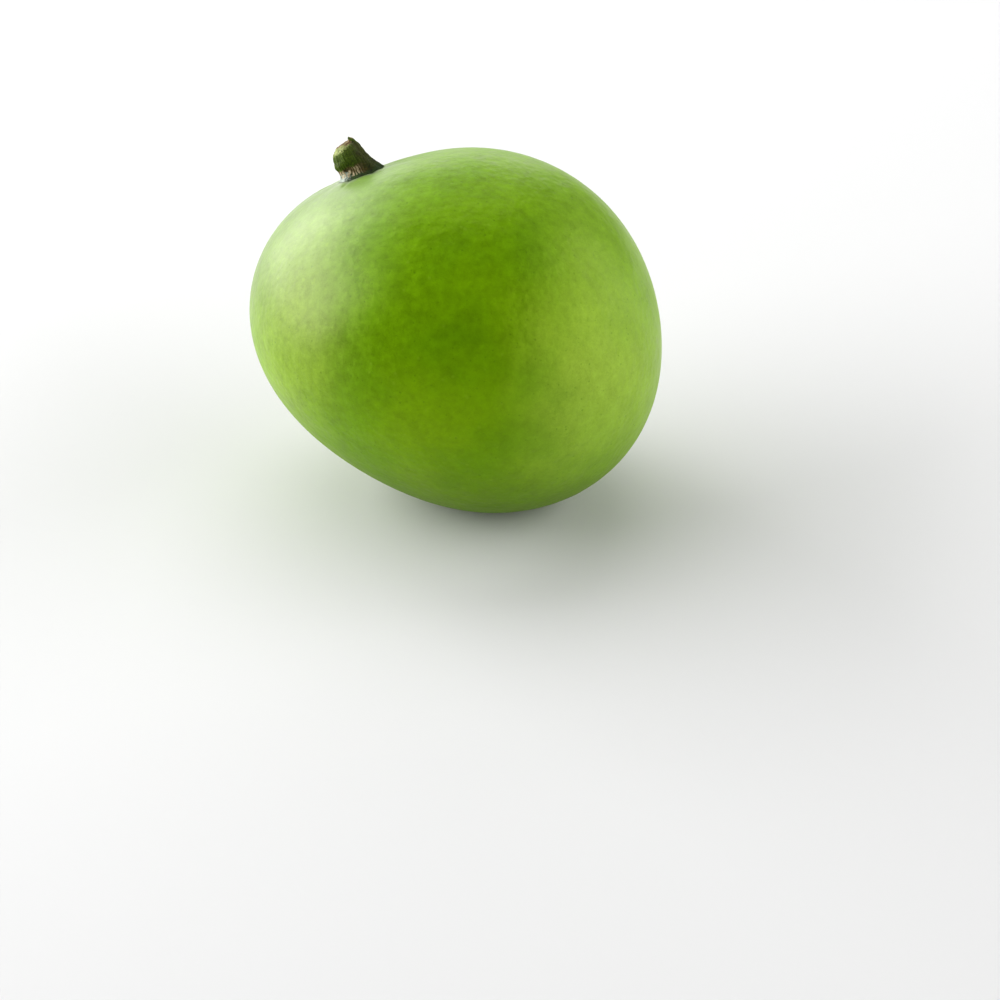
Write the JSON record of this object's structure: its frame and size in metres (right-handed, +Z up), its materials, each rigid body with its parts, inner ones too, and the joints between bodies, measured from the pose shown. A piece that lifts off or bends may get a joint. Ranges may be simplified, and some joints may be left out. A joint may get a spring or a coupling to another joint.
{
  "type": "mango",
  "caption": "Whole round green mango with a woody stub of its stalk, lying tilted on a small flat spot.",
  "frame": {"origin": "on the surface that the fruit lies on, under the middle of its box", "axes": "+Z up; -Y towards the viewer, who sees the broad face with the stalk at the upper left; +X to the viewer's right"},
  "size_m": [0.0866, 0.0774, 0.0755],
  "materials": {
    "skin": "smooth waxy skin with a soft sheen",
    "bark": "rough dry bark"
  },
  "bodies": {
    "root": {"fruit": "skin", "stem": "bark"}
  },
  "joints": []
}
